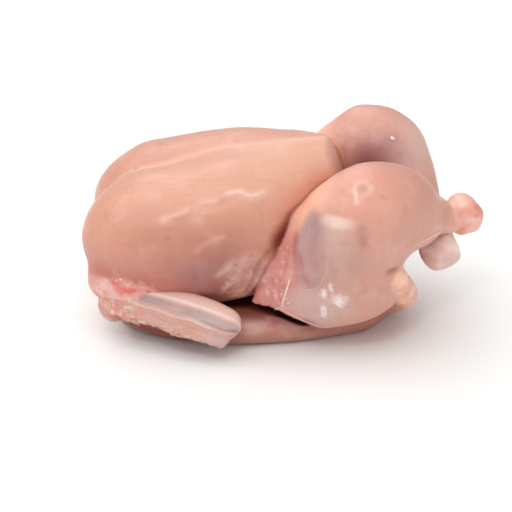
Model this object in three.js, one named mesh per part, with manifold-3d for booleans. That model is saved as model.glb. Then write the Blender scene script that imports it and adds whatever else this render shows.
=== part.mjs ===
// A whole raw skinless chicken, dressed and lying on its back, breast up, with its drumsticks crossed.
// Millimetres, +Z up. The neck end points to -X, the tail to +X, and the bird's own right side to -Y.
// Each muscle is an oval profile carried along a smooth path. The muscles are joined into one solid,
// and the mouth of the body cavity is cut into it before the legs go on.

import * as THREE from 'three';
import { LoftGeometry } from 'three/addons/geometries/LoftGeometry.js';
import { mergeVertices } from 'three/addons/utils/BufferGeometryUtils.js';
import Module from 'manifold-3d';

const wasm = await Module();
wasm.setup();

// Driving sizes
const keelHeight = 121; // top of the breastbone's rear tip, over the surface the bird lies on
const breastHalf = 41; // half width of one breast fillet at its widest
const hipHalf = 46; // how far a thigh's core stands off the middle plane
const calfRadius = 26; // thickest part of a drumstick
const ankleRadius = 8; // where the drumstick's meat has run out
const boneRadius = 9.5; // half thickness of a wing segment with its meat
const backHalf = 58; // half width of the back that the bird lies on

// How finely the profiles are cut into facets: rings along the path, and points round each ring
const fine = { along: 24, around: 34 };
const medium = { along: 16, around: 24 };
const small = { along: 10, around: 14 };

const endGap = 0.35; // a muscle's first and last ring stand this many steps in from its tips
const nudge = 1e-3; // step along a path, to find its direction
const weld = 1e-4; // corners closer than this are one

const upward = new THREE.Vector3(0, 0, 1);
const sideways = new THREE.Vector3(0, 1, 0);

// A smooth curve through the rows, which are three numbers each.
const through = (rows) =>
  new THREE.CatmullRomCurve3(rows.map((r) => new THREE.Vector3(...r)), false, 'catmullrom', 0.5);

// How much of its full size a ring has at t, so that both ends of a muscle are rounded off.
function roundedOff(t, start, end) {
  const near = t < start ? (start - t) / start : t > 1 - end ? (t - 1 + end) / end : 0;
  return Math.sqrt(Math.max(0, 1 - near * near));
}

// A muscle. Each station is [x, y, z, wide, deep]: a point of its core, the profile's half width
// across `up`, and its half depth along it. `power` 2 is an ellipse, and more is squarer.
function muscle(stations, { up = upward, round = [0.12, 0.12], power = 2, mesh = medium } = {}) {
  const core = through(stations.map((s) => s.slice(0, 3)));
  const girth = through(stations.map((s) => [s[3], s[4], 0]));
  const rings = [];
  for (let i = 0; i <= mesh.along; i++) {
    const inside = (i + endGap) / (mesh.along + 2 * endGap);
    const t = (1 - Math.cos(Math.PI * inside)) / 2;
    const at = core.getPoint(t);
    const behind = core.getPoint(Math.max(0, t - nudge));
    const ahead = core.getPoint(Math.min(1, t + nudge)).sub(behind).normalize();
    const across = new THREE.Vector3().crossVectors(up, ahead).normalize();
    const over = new THREE.Vector3().crossVectors(ahead, across);
    const size = girth.getPoint(t).multiplyScalar(roundedOff(t, ...round));
    const ring = [];
    for (let j = 0; j < mesh.around; j++) {
      const angle = (2 * Math.PI * j) / mesh.around;
      const c = Math.cos(angle);
      const s = Math.sin(angle);
      const w = size.x * Math.sign(c) * Math.abs(c) ** (2 / power);
      const d = size.y * Math.sign(s) * Math.abs(s) ** (2 / power);
      ring.push(at.clone().addScaledVector(across, w).addScaledVector(over, d));
    }
    rings.push(ring);
  }
  return solidOf(new LoftGeometry(rings, { capStart: true, capEnd: true }));
}

// A closed geometry as a solid that can be joined and cut.
function solidOf(geometry) {
  const bare = new THREE.BufferGeometry();
  bare.setAttribute('position', geometry.getAttribute('position'));
  bare.setIndex(geometry.getIndex());
  const merged = mergeVertices(bare, weld);
  const triVerts = new Uint32Array(merged.index.array);
  const vertProperties = new Float32Array(merged.attributes.position.array);
  const made = new wasm.Manifold(new wasm.Mesh({ numProp: 3, vertProperties, triVerts }));
  if (made.volume() < 0) throw new Error('a muscle is inside out');
  return made;
}

const joined = (solids) => solids.reduce((all, one) => all.add(one));
const mirrored = (stations) => stations.map(([x, y, ...rest]) => [x, -y, ...rest]);

// Both breast fillets, and the breastbone between them, which stands up towards the tail.
// The left fillet lies a little further forward than the right one.
function breast() {
  const fillet = [
    [-122, -28, 62, 36, 36],
    [-96, -25.5, 61, 39.5, 38.5],
    [-70, -24, 61, breastHalf, 41.5],
    [-42, -22, 64, breastHalf, 43.5],
    [-14, -18, 71, breastHalf - 3, 43.5],
    [14, -12, 80, 31, 37],
    [43, -7, 87, 21, 29],
  ];
  const keel = [
    [-70, 0, 88, 11, 9],
    [-34, 0, 98, 12, 11],
    [4, -1, 104, 13, 13],
    [34, -1, keelHeight - 18, 14, 16.5],
  ];
  const shape = { round: [0.27, 0.05], power: 2.2, mesh: fine };
  const leftFillet = mirrored(fillet).map(([x, ...rest]) => [x - 3, ...rest]);
  return [
    muscle(fillet, shape),
    muscle(leftFillet, shape),
    muscle(keel, { round: [0.3, 0.08], power: 2.4, mesh: small }),
  ];
}

// The rib cage inside the fillets, the flat back that the bird lies on, and the neck's stump.
function trunk() {
  const ribs = [
    [-106, 0, 40, 24, 24],
    [-60, 0, 38, 38, 36],
    [0, 0, 36, 40, 36],
    [40, 0, 34, 36, 30],
    [74, 0, 22, 20, 18],
  ];
  const back = [
    [-112, 0, 15, 32, 15],
    [-80, 0, 13, backHalf - 6, 16],
    [-40, 0, 10, backHalf, 14],
    [0, 0, 11, backHalf - 5, 16],
    [34, 0, 13, backHalf - 16, 18],
    [72, 0, 16, 25, 19],
  ];
  const neck = [
    [-84, 0, 24, 15, 14],
    [-100, 0, 24, 13, 12],
    [-113, 0, 24, 12, 11],
  ];
  return [
    muscle(ribs, { power: 2.3 }),
    muscle(back, { power: 2.6 }),
    muscle(neck, { round: [0.1, 0.05], mesh: small }),
  ];
}

// The mouth of the body cavity, under the breastbone's tip and between the thighs.
function cavity() {
  const mouth = [
    [70, 0, 72, 22, 26],
    [44, 0, 68, 23, 25],
    [18, 0, 62, 22, 22],
    [-8, 0, 56, 15, 15],
  ];
  return muscle(mouth, { round: [0.1, 0.35], power: 2.2 });
}

// A thigh from the hip up to the knee, and a drumstick from the knee to the ankle with its knuckle.
function leg(thigh, drumstick, knuckle) {
  return [
    muscle(thigh, { up: sideways, round: [0.15, 0.2], power: 2.2 }),
    muscle(drumstick, { round: [0.12, 0.02] }),
    muscle(knuckle, { round: [0.05, 0.12], power: 2.6, mesh: small }),
  ];
}

// The thin skirt of skin and meat that spans from the breast to a thigh and hangs down in front of it.
function skirt() {
  const sheet = [
    [16, -38, 88, 12, 8],
    [6, -44, 62, 12, 7],
    [5, -49, 40, 12, 5],
    [13, -52, 26, 14, 3.5],
  ];
  return muscle(sheet, { up: sideways, round: [0.1, 0.1], power: 2.4, mesh: small });
}

// The near leg crosses over the far one.
function nearLeg() {
  const thigh = [
    [37, -hipHalf + 6, 19, 30, 15],
    [35, -hipHalf + 1, 35, 37, 21],
    [38, -hipHalf, 56, 35.5, 24.5],
    [44, -hipHalf, 84, 31, 24.5],
    [49, -hipHalf + 1, 114, 21, 19],
  ];
  const drumstick = [
    [34, -47, 98, 17, 17],
    [50, -43, 93, 24.5, 24.5],
    [66, -34, 88, calfRadius, calfRadius],
    [80, -23, 80, 21.5, 21.5],
    [91, -13, 75, 12.5, 12.5],
    [101, -7, 74, ankleRadius, ankleRadius],
  ];
  const knuckle = [
    [96, -9, 74.5, 8, 8],
    [104, -5, 72, 9, 10],
    [111, -2, 72.5, 11, 12.5],
    [118, 1, 77, 10, 11.5],
  ];
  return leg(thigh, drumstick, knuckle);
}

// The far leg's shank dips under the near one, and its knuckle hangs below the crossing.
function farLeg() {
  const thigh = [
    [36, hipHalf - 6, 19, 30, 15],
    [34, hipHalf - 1, 35, 37, 21],
    [37, hipHalf, 59, 35.5, 24.5],
    [41, hipHalf + 1, 86, 31, 24.5],
    [47, hipHalf, 118, 20, 18],
  ];
  const drumstick = [
    [35, 48, 101, 18, 18],
    [50, 46, 100, 24.5, 24.5],
    [63, 40, 97, calfRadius, calfRadius],
    [76, 28, 84, 20.5, 20.5],
    [88, 10, 70, 12.5, 12.5],
    [95, -2, 61, ankleRadius + 1, ankleRadius + 1],
  ];
  const knuckle = [
    [97, -1, 60, 8, 9],
    [99, -8, 56, 10, 10],
    [99, -14, 50, 10.5, 10.5],
    [97, -19, 44, 7, 8],
  ];
  return leg(thigh, drumstick, knuckle);
}

// One wing, cut off behind the forearm. The upper arm runs back from the shoulder to the elbow, the
// forearm folds forward again below it, and flat meat fills the bend between the two.
function wing() {
  const upperArm = [
    [-112, -37, 38, 15, 17],
    [-98, -45, 34, 12, 13],
    [-78, -53, 32, boneRadius, boneRadius],
    [-52, -61, 30, boneRadius, boneRadius],
    [-33, -66, 25.5, boneRadius, boneRadius],
    [-21, -68, 19, 8, 10],
  ];
  const forearm = [
    [-100, -48, 26, 8, 8],
    [-75, -57, 21.5, boneRadius - 1, boneRadius],
    [-50, -64, 17, boneRadius, boneRadius - 0.5],
    [-27, -69, 14, boneRadius, boneRadius - 0.5],
  ];
  const web = [
    [-104, -44, 28, 9, 13],
    [-76, -54, 27, 9, 12.5],
    [-50, -62, 23.5, 9, 11.5],
    [-27, -67, 18, 9, 10],
  ];
  return [
    muscle(upperArm, { round: [0.15, 0.15], mesh: small }),
    muscle(forearm, { mesh: small }),
    muscle(web, { power: 2.4, mesh: small }),
  ];
}

function tail() {
  const rump = [
    [54, 0, 24, 20, 17],
    [70, -1, 21, 14, 15.5],
    [86, -2, 18, 7, 11],
  ];
  return muscle(rump, { round: [0.1, 0.2], mesh: small });
}

// Everything under the surface that the bird lies on, which leaves a flat face to rest on.
function floorBlock() {
  const depth = 40;
  const block = new THREE.BoxGeometry(400, 300, depth);
  block.translate(0, 0, -depth / 2);
  return solidOf(block);
}

// The whole bird, centred over the middle of the surface that it covers.
function chicken() {
  const body = joined([...breast(), ...trunk(), tail()]).subtract(cavity());
  const paired = [...wing(), skirt()];
  const otherSide = paired.map((one) => one.mirror([0, 1, 0]));
  const whole = joined([body, ...nearLeg(), ...farLeg(), ...paired, ...otherSide]).subtract(floorBlock());
  const { min, max } = whole.boundingBox();
  return whole.translate([-(min[0] + max[0]) / 2, -(min[1] + max[1]) / 2, -min[2]]);
}

function geometryOf(solid) {
  const mesh = solid.getMesh();
  const geometry = new THREE.BufferGeometry();
  geometry.setAttribute('position', new THREE.BufferAttribute(mesh.vertProperties, 3));
  geometry.setIndex(new THREE.BufferAttribute(mesh.triVerts, 1));
  geometry.computeVertexNormals();
  return geometry;
}

const flesh = new THREE.MeshStandardMaterial({ color: 0xe3aa95, roughness: 0.38, metalness: 0 });
const bird = new THREE.Mesh(geometryOf(chicken()), flesh);
bird.name = 'whole_chicken';

const group = new THREE.Group();
group.add(bird);
export default group;
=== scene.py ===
import bpy
import numpy as np
import openvdb
from mathutils import Matrix, Vector


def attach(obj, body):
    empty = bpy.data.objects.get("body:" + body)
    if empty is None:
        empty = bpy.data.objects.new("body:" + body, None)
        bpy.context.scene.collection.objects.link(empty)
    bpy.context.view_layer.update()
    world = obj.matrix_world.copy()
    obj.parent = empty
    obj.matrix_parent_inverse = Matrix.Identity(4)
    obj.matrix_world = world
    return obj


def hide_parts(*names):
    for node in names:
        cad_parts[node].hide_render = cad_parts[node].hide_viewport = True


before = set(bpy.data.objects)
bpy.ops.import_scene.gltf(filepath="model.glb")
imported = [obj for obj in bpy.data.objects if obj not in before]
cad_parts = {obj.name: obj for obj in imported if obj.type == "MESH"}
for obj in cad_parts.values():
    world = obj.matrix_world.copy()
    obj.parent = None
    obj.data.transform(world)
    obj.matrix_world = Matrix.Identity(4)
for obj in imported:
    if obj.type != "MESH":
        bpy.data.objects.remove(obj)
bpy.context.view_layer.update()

# The camera looks down at the bird's right side from a little towards its tail, as at a plate on a table.
# All sizes are in millimetres, and `in_frame` takes them to the frame's metres.
MM = 0.001
forward_of_middle = np.array([0.88, 0, 0])  # from the stations' origin to the middle of the solid's box


def in_frame(points):
    """Points in the stations' millimetres, in the frame's metres."""
    return (np.asarray(points, float) + forward_of_middle) * MM


view_elevation = np.radians(25)
view_azimuth = np.radians(5)
view_distance = 750
view_target = np.array([-16.7, 0, 37.7])
view_scale = 1.56  # pixels per millimetre at the target
picture_side = 512
sensor_width = 36

view_ahead = np.array([
    -np.sin(view_azimuth) * np.cos(view_elevation),
    np.cos(view_azimuth) * np.cos(view_elevation),
    -np.sin(view_elevation),
])
view_right = np.array([np.cos(view_azimuth), np.sin(view_azimuth), 0])
view_up = np.cross(view_right, view_ahead)
view_point = view_target - view_ahead * view_distance
camera = bpy.data.objects.new("camera", bpy.data.cameras.new("camera"))
bpy.context.scene.collection.objects.link(camera)
camera_turn = Matrix(np.stack([view_right, view_up, -view_ahead], axis=1).tolist()).to_4x4()
camera.matrix_world = Matrix.Translation(Vector(in_frame(view_point))) @ camera_turn
camera.data.sensor_width = sensor_width
camera.data.lens = view_scale * view_distance / picture_side * sensor_width
camera.data.clip_end = 20
bpy.context.scene.camera = camera

# The breast: two long fillets of smooth muscle with the keel between them, hollow behind where the cavity
# opens. Each form is an oval profile carried along a smooth path, as meat lies along its bones, and the forms
# are fused on a fine grid of signed distances.


def smooth_curve(rows, t):
    """Points at t, from 0 to 1, on the curve through the rows. Between two rows it is the cubic that passes
    both, and whose slope at each is half the step from the row before it to the row after it."""
    rows = np.asarray(rows, float)
    spans = len(rows) - 1
    beyond = np.vstack([2 * rows[0] - rows[1], rows, 2 * rows[-1] - rows[-2]])
    place = np.clip(t, 0, 1) * spans
    first = np.minimum(place.astype(int), spans - 1)
    f = (place - first)[:, None]
    a, b, c, d = (beyond[first + step] for step in range(4))
    return b + 0.5 * (f * (c - a) + f**2 * (2 * a - 5 * b + 4 * c - d) + f**3 * (3 * b - a - 3 * c + d))


def unit(vectors):
    """The vectors along the last axis, scaled to length 1."""
    return vectors / np.maximum(np.linalg.norm(vectors, axis=-1, keepdims=True), 1e-9)


def full_turn(steps):
    """The angles of that many equal steps round a circle."""
    return 2 * np.pi * np.arange(steps) / steps


def muscle(stations, up=(0, 0, 1), round_off=(0.12, 0.12), power=2.0, along=70, around=72):
    """Rings round a path. A station is x, y, z, half width across `up` and half depth along it. Each ring is
    the superellipse |w|^power + |d|^power = 1 at right angles to the path. `round_off` says over which share
    of the path, at its start and at its end, the rings shrink as a quarter circle does."""
    stations = np.asarray(stations, float)
    t = (1 - np.cos(np.pi * (np.arange(along) + 0.35) / (along - 0.3))) / 2
    core = smooth_curve(stations, t)
    ahead = smooth_curve(stations[:, :3], t + 1e-3) - smooth_curve(stations[:, :3], t - 1e-3)
    ahead = unit(ahead)
    across = unit(np.cross(np.asarray(up, float), ahead))
    over = np.cross(ahead, across)
    start, end = round_off
    near_end = np.maximum((start - t) / start, (t - 1 + end) / end).clip(0, 1)
    size = core[:, 3:5] * np.sqrt(1 - near_end**2)[:, None]
    turn = full_turn(around)
    w = np.sign(np.cos(turn)) * np.abs(np.cos(turn)) ** (2 / power)
    d = np.sign(np.sin(turn)) * np.abs(np.sin(turn)) ** (2 / power)
    out = core[:, None, :3] + size[:, :1, None] * w[None, :, None] * across[:, None]
    return out + size[:, 1:, None] * d[None, :, None] * over[:, None]


def mirrored(stations, forward=0.0):
    """The same stations on the bird's other side, moved along X by `forward`."""
    turned = np.array(stations, float)
    turned[:, 1] *= -1
    turned[:, 0] += forward
    return turned


def ring_faces(count, around):
    """Faces of four corners between each ring of points and the next, the points numbered ring by ring."""
    ring = np.arange(count - 1)[:, None] * around
    here = np.arange(around)[None]
    after = (here + 1) % around
    corners = [ring + here, ring + after, ring + around + after, ring + around + here]
    return np.stack(corners, -1).reshape(-1, 4)


class Clay:
    """A block of space on a regular grid, that holds signed distances in millimetres, negative inside."""

    margin = 6
    band = 12

    def __init__(self, forms, voxel):
        self.voxel = voxel
        low = np.min([form.min((0, 1)) for form in forms], axis=0) - self.margin
        high = np.max([form.max((0, 1)) for form in forms], axis=0) + self.margin
        self.first = np.floor(low / voxel).astype(int)
        self.shape = tuple(np.ceil(high / voxel).astype(int) - self.first + 1)

    def grid_transform(self):
        return openvdb.createLinearTransform(voxelSize=self.voxel)

    def distance(self, rings):
        """Signed distance to the surface over the rings, closed by a pole in the middle of each end ring."""
        count, around = rings.shape[:2]
        poles = np.stack([rings[0].mean(0), rings[-1].mean(0)])
        points = np.concatenate([rings.reshape(-1, 3), poles])
        here = np.arange(around)
        after = (here + 1) % around
        last = (count - 1) * around
        start = np.stack([np.full(around, count * around), after, here], -1)
        end = np.stack([np.full(around, count * around + 1), last + here, last + after], -1)
        level = openvdb.FloatGrid.createLevelSetFromPolygons(
            points.astype(np.float32),
            triangles=np.concatenate([start, end]).astype(np.uint32),
            quads=ring_faces(count, around).astype(np.uint32),
            transform=self.grid_transform(),
            halfWidth=self.band,
        )
        field = np.full(self.shape, self.band * self.voxel, np.float32)
        level.copyToArray(field, ijk=tuple(int(i) for i in self.first))
        return field

    def build(self, form, *additions):
        """The distance field of the form, with every (form, radius) of the additions fused on in turn."""
        field = self.distance(form)
        for addition, radius in additions:
            field = fused(field, self.distance(addition), radius)
        return field

    def heights(self):
        """The height of every grid point."""
        return ((self.first[2] + np.arange(self.shape[2])) * self.voxel)[None, None, :]

    def sample(self, field, points):
        """The field at any points: the eight grid values around each, weighted by how near they are."""
        place = points / self.voxel - self.first
        base = np.clip(np.floor(place).astype(int), 0, np.array(self.shape) - 2)
        f = np.clip(place - base, 0, 1)
        total = np.zeros(len(points))
        for corner in np.ndindex(2, 2, 2):
            weight = np.prod(np.where(np.array(corner) == 1, f, 1 - f), axis=1)
            total += weight * field[tuple((base + corner).T)]
        return total

    def depth_in(self, form, points):
        """How deep the points lie inside the form, in millimetres, negative outside it."""
        return -self.sample(self.distance(form), points)

    def skin(self, field):
        """Points and faces of four corners where the field is zero. They face outward and are eased."""
        grid = openvdb.FloatGrid(self.band * self.voxel)
        grid.transform = self.grid_transform()
        grid.copyFromArray(field, ijk=tuple(int(i) for i in self.first))
        points, quads = grid.convertToQuads(isovalue=0)
        points = np.array(points, float)
        quads = np.array(quads, int)
        first, second, third = (points[quads[:, corner]] for corner in range(3))
        signed_volume = np.einsum("ij,ij->", first, np.cross(second, third))
        if signed_volume < 0:
            quads = quads[:, ::-1]
        return relaxed(points, quads), quads


def relaxed(points, quads):
    """Points moved towards the mean of their neighbours and then a little further back, so that the steps of
    the grid go and the size stays."""
    rounds = 3
    pull = 0.5
    push = 0.53
    count = np.bincount(quads.ravel(), minlength=len(points))
    for turn in range(2 * rounds):
        total = np.zeros_like(points)
        for corner in range(4):
            for axis in range(3):
                beside = points[quads[:, corner - 1], axis] + points[quads[:, (corner + 1) % 4], axis]
                total[:, axis] += np.bincount(quads[:, corner], beside, len(points))
        mean = total / (2 * count)[:, None]
        points = points + (pull if turn % 2 == 0 else -push) * (mean - points)
    return points


def normals_of(points, quads):
    """Normals at the points: the sum of the cross products of each face's diagonals, scaled to length 1."""
    cross = np.cross(points[quads[:, 2]] - points[quads[:, 0]], points[quads[:, 3]] - points[quads[:, 1]])
    total = np.zeros_like(points)
    for axis in range(3):
        for corner in range(4):
            total[:, axis] += np.bincount(quads[:, corner], cross[:, axis], len(points))
    return unit(total)


def fused(a, b, radius):
    """Smooth union: the lesser distance, less (radius - |a - b|)^2 / (4 radius) where a and b are within the
    radius of each other."""
    near = np.maximum(radius - np.abs(a - b), 0)
    return np.minimum(a, b) - near**2 / (4 * radius)


def carved(a, b, radius):
    """What is left of a when b is taken out, with an edge of that radius."""
    return -fused(-a, b, radius)


def noise(points, size, seed=0):
    """Smooth noise from -1 to 1 with lumps about `size` across: a hashed value at each corner of a cubic
    lattice, blended by the curve 3f^2 - 2f^3."""
    place = np.asarray(points, float) / size + 1000
    cell = np.floor(place).astype(np.int64)
    f = place - cell
    f = f * f * (3 - 2 * f)
    total = np.zeros(place.shape[0])
    for corner in np.ndindex(2, 2, 2):
        x, y, z = (cell + corner).T
        mixed = (x * 73856093) ^ (y * 19349663) ^ (z * 83492791) ^ (seed * 2654435761)
        mixed = (mixed ^ (mixed >> 13)) * 1274126177 & 0xFFFFFFFF
        value = ((mixed ^ (mixed >> 16)) & 0xFFFF) / 32767.5 - 1
        total += value * np.prod(np.where(np.array(corner) == 1, f, 1 - f), axis=1)
    return total


def step_between(values, low, high):
    """0 below low, 1 above high, and the curve 3s^2 - 2s^3 between them."""
    s = np.clip((values - low) / (high - low), 0, 1)
    return s * s * (3 - 2 * s)


def blotches(points, size, seed, low, high):
    """Patches about `size` across: 0 where the noise is below low, 1 above high, smooth between."""
    return step_between(noise(points, size, seed), low, high)


def bell(values, middle, width, power=2):
    """1 in the middle, falling as e^-((value - middle) / width)^power."""
    return np.exp(-(((values - middle) / width) ** power))


def near_side(points):
    """Points with those of the far side brought over to the near side, y to -|y|."""
    return points * (1, 0, 1) - np.abs(points) * (0, 1, 0)


def from_path(points, path):
    """Distance from each point to the nearest of the straight runs between the path's points."""
    path = np.asarray(path, float)
    best = np.full(len(points), np.inf)
    for start, end in zip(path[:-1], path[1:]):
        run = end - start
        share = np.clip((points - start) @ run / (run @ run), 0, 1)
        best = np.minimum(best, np.linalg.norm(points - start - share[:, None] * run, axis=1))
    return best


def along_path(points, path, width):
    """1 on the path, falling as e^-(distance / width)^2."""
    return bell(from_path(points, path), 0, width)


def within(points, centre, radii, soft=0.5, ragged=0.15, size=9):
    """1 inside the oval with those radii round the centre, 0 outside, with a soft and uneven edge."""
    away = np.linalg.norm((points - np.asarray(centre)) / np.asarray(radii), axis=1)
    away += ragged * noise(points, size, 41)
    return 1 - step_between(away, 1 - soft, 1 + soft)


def mesh_piece(name, points, faces):
    """A smooth mesh object at the origin, with its points in the frame's metres and its faces as lists."""
    mesh = bpy.data.meshes.new(name)
    mesh.from_pydata(in_frame(points), [], faces)
    mesh.polygons.foreach_set("use_smooth", [True] * len(mesh.polygons))
    mesh.update()
    piece = bpy.data.objects.new(name, mesh)
    bpy.context.scene.collection.objects.link(piece)
    return piece


def rgb(red, green, blue):
    """A colour from its screen values, 0 to 255, as the linear values that shading works in."""
    screen = np.array([red, green, blue]) / 255
    return np.where(screen <= 0.04045, screen / 12.92, ((screen + 0.055) / 1.055) ** 2.4)


class Tones:
    """The colour and the wetness at every point of a piece, laid on in layers. The ground is one colour, or
    one for each point."""

    def __init__(self, points, ground, wet=0.15):
        self.colours = np.broadcast_to(ground, (len(points), 3)).copy()
        self.wetness = np.full(len(points), float(wet))

    def lay(self, colour, share):
        """Mixes the colour in by its share at every point."""
        self.colours += (colour - self.colours) * np.clip(share, 0, 1)[:, None]

    def patches(self, points, rows):
        """Lays a colour over an oval patch for each row: colour, share, and what `within` asks for."""
        for colour, share, *oval in rows:
            self.lay(colour, within(points, *oval) * share)

    def wet(self, amount, share):
        """Mixes the wetness in by its share at every point."""
        self.wetness += (amount - self.wetness) * np.clip(share, 0, 1)

    def give(self, piece):
        """Stores both in the piece, where its material reads them."""
        tone = piece.data.attributes.new("tone", "FLOAT_COLOR", "POINT")
        tone.data.foreach_set("color", np.column_stack([self.colours, np.ones(len(self.colours))]).ravel())
        wet = piece.data.attributes.new("wet", "FLOAT", "POINT")
        wet.data.foreach_set("value", self.wetness)


class Paint:
    """One socket of a material. Arithmetic on it adds Math nodes, and make() adds any other node."""

    def __init__(self, tree, socket=None):
        self.tree = tree
        self.socket = socket

    def make(self, kind, settings=None, inputs=None, output=0):
        """A new node: its settings are set first, and then its sockets get their values or links."""
        node = self.tree.nodes.new("ShaderNode" + kind)
        for name, value in (settings or {}).items():
            setattr(node, name, value)
        for name, value in (inputs or {}).items():
            if isinstance(value, Paint):
                self.tree.links.new(value.socket, node.inputs[name])
            else:
                node.inputs[name].default_value = value
        return Paint(self.tree, node.outputs[output])

    def maths(self, operation, *values):
        return self.make("Math", {"operation": operation}, dict(enumerate(values)))

    def __add__(self, other):
        return self.maths("ADD", self, other)

    def __radd__(self, other):
        return self.maths("ADD", other, self)

    def __sub__(self, other):
        return self.maths("SUBTRACT", self, other)

    def __rsub__(self, other):
        return self.maths("SUBTRACT", other, self)

    def __mul__(self, other):
        return self.maths("MULTIPLY", self, other)

    def between(self, low, high):
        """0 below low, 1 above high, and a smooth step between them."""
        limits = {"Value": self, "From Min": low, "From Max": high}
        return self.make("MapRange", {"interpolation_type": "SMOOTHSTEP"}, limits)

    def towards(self, other, share, blend="MIX"):
        """This colour mixed towards the other by the share."""
        colours = {0: share, 6: self, 7: other}
        return self.make("Mix", {"data_type": "RGBA", "blend_type": blend}, colours, 2)

    def attribute(self, name, output=2):
        return self.make("Attribute", {"attribute_name": name}, output=output)

    def spots(self, scale, stretch=(1, 1, 1), detail=2.0, rough=0.5):
        """Noise from 0 to 1 at `scale` lumps to the metre, in object space. A small number in `stretch` draws
        the lumps out along that axis."""
        place = self.make("TexCoord", output=3)
        place = self.make("Mapping", None, {"Vector": place, "Scale": stretch})
        lumps = {"Vector": place, "Scale": scale, "Detail": detail, "Roughness": rough}
        return self.make("TexNoise", None, lumps)


def new_material(name, subsurface=0.3, gloss=0.5):
    """A material with a Principled shader, moist and a little translucent. Returns it, its shader and a
    Paint."""
    light_depth = 0.003  # metres that light travels under the surface
    coat_roughness = 0.14
    material = bpy.data.materials.new(name)
    material.use_nodes = True
    tree = material.node_tree
    shader = tree.nodes["Principled BSDF"]
    shader.inputs["Subsurface Weight"].default_value = subsurface
    shader.inputs["Subsurface Radius"].default_value = (1.0, 0.4, 0.28)
    shader.inputs["Subsurface Scale"].default_value = light_depth
    shader.inputs["Specular IOR Level"].default_value = gloss
    shader.inputs["Coat Roughness"].default_value = coat_roughness
    return material, shader, Paint(tree)


def wire(shader, **sockets):
    """Links paints to the shader's sockets, whose names have _ for a space."""
    for name, paint in sockets.items():
        paint.tree.links.new(paint.socket, shader.inputs[name.replace("_", " ")])


def flesh_material(name, stretch, grain=0.3):
    """Raw meat in the tones of its piece: mottled, with fine fibres along the meat and moist patches."""
    fleck_pale = (0.85, 0.6, 0.5, 1)
    fleck_dark = (0.72, 0.5, 0.47, 1)
    fibre_dark = (0.86, 0.78, 0.76, 1)
    bump_height = 0.0004
    material, shader, paint = new_material(name)
    base = paint.attribute("tone", 0)
    pale_flecks = paint.spots(55, detail=4, rough=0.6).between(0.5, 0.78)
    bright = paint.make("RGBToBW", None, {"Color": base}).between(0, 0.3)
    base = base.towards(fleck_pale, pale_flecks * bright * 0.22)
    dark_flecks = paint.spots(90, detail=3, rough=0.6).between(0.56, 0.8)
    base = base.towards(fleck_dark, dark_flecks * 0.35, "MULTIPLY")
    fibres = paint.spots(330, stretch, 3, 0.6)
    base = base.towards(fibre_dark, fibres.between(0.45, 0.75) * 0.3, "MULTIPLY")
    wet = paint.attribute("wet")
    patchy = paint.spots(120, detail=3).between(0.3, 0.7)
    roughness = 0.5 - wet * 0.28 - patchy * 0.1
    coat = wet * (0.35 + patchy * 0.5)
    height = fibres * 0.6 + paint.spots(900, detail=3) * 0.4
    bump = paint.make("Bump", None, {"Strength": grain, "Distance": bump_height, "Height": height})
    wire(shader, Base_Color=base, Roughness=roughness, Coat_Weight=coat, Normal=bump)
    return material


SIDEWAYS = (0, 1, 0)
fillet_stations = [
    (-122, -28, 62, 36, 36),
    (-96, -25.5, 61, 39.5, 38.5),
    (-70, -24, 61, 41, 41.5),
    (-42, -22, 64, 41, 43.5),
    (-14, -18, 71, 38, 43.5),
    (14, -12, 80, 31, 37),
    (40, -7, 87, 21, 28.5),
]
fillet_shape = dict(round_off=(0.27, 0.05), power=2.2, along=110, around=120)
near_fillet = muscle(fillet_stations, **fillet_shape)
far_rise = np.outer([1, 1.5, 3, 4, 2, 1.5, 1.5], [0, 0, 1, 0, 0])
far_fillet = muscle(mirrored(fillet_stations, -3) + far_rise, **fillet_shape)
keel = muscle(
    [(-70, 0, 88, 11, 9), (-34, 0, 98, 12, 11), (4, -1, 104, 13, 13), (31, -1, 103.5, 14, 16)],
    round_off=(0.3, 0.08),
    power=2.4,
)
shoulder_stations = [
    (-110, -32, 43, 15, 17),
    (-101, -41, 38, 14, 15.5),
    (-88, -48, 34, 11, 12),
    (-78, -52, 32, 8, 8),
]
shoulder_round_off = (0.3, 0.2)
near_shoulder = muscle(shoulder_stations, round_off=shoulder_round_off)
far_shoulder = muscle(mirrored(shoulder_stations), round_off=shoulder_round_off)
cavity = muscle(
    [(70, 0, 72, 22, 26), (44, 0, 68, 23, 25), (18, 0, 62, 22, 22), (-8, 0, 56, 15, 15)],
    round_off=(0.1, 0.35),
    power=2.2,
)

PEACH = rgb(214, 158, 136)
PEACH_TOP_LIGHT = rgb(220, 169, 145)
FAR_STRIP = rgb(210, 152, 137)
KEEL_HIGHLIGHT = rgb(232, 194, 172)
BREAST_SIDE_SHADE = rgb(196, 138, 120)
BREAST_LOW_SHADE = rgb(188, 112, 95)
BREAST_RAW = rgb(184, 92, 80)
PLUM = rgb(160, 104, 98)
FLAP_DARK_AND_SHADE = rgb(134, 74, 66)
SHOULDER_RED = rgb(222, 104, 94)
RAW_PINK = rgb(243, 198, 186)
CREASE_SHADE = rgb(104, 22, 6)
CREASE_WARM_SHADE = rgb(204, 114, 78)
TISSUE_PINK = rgb(210, 153, 140)
TISSUE_PALE = rgb(226, 182, 168)
FAT_CREAM = rgb(236, 196, 172)
FAT_WHITE_AND_HIGHLIGHT = rgb(240, 210, 196)
CAVITY_DARK = rgb(120, 58, 50)
DULL = -1.6  # a wetness below 0, for the depth of a crease, where no light glances

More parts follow.
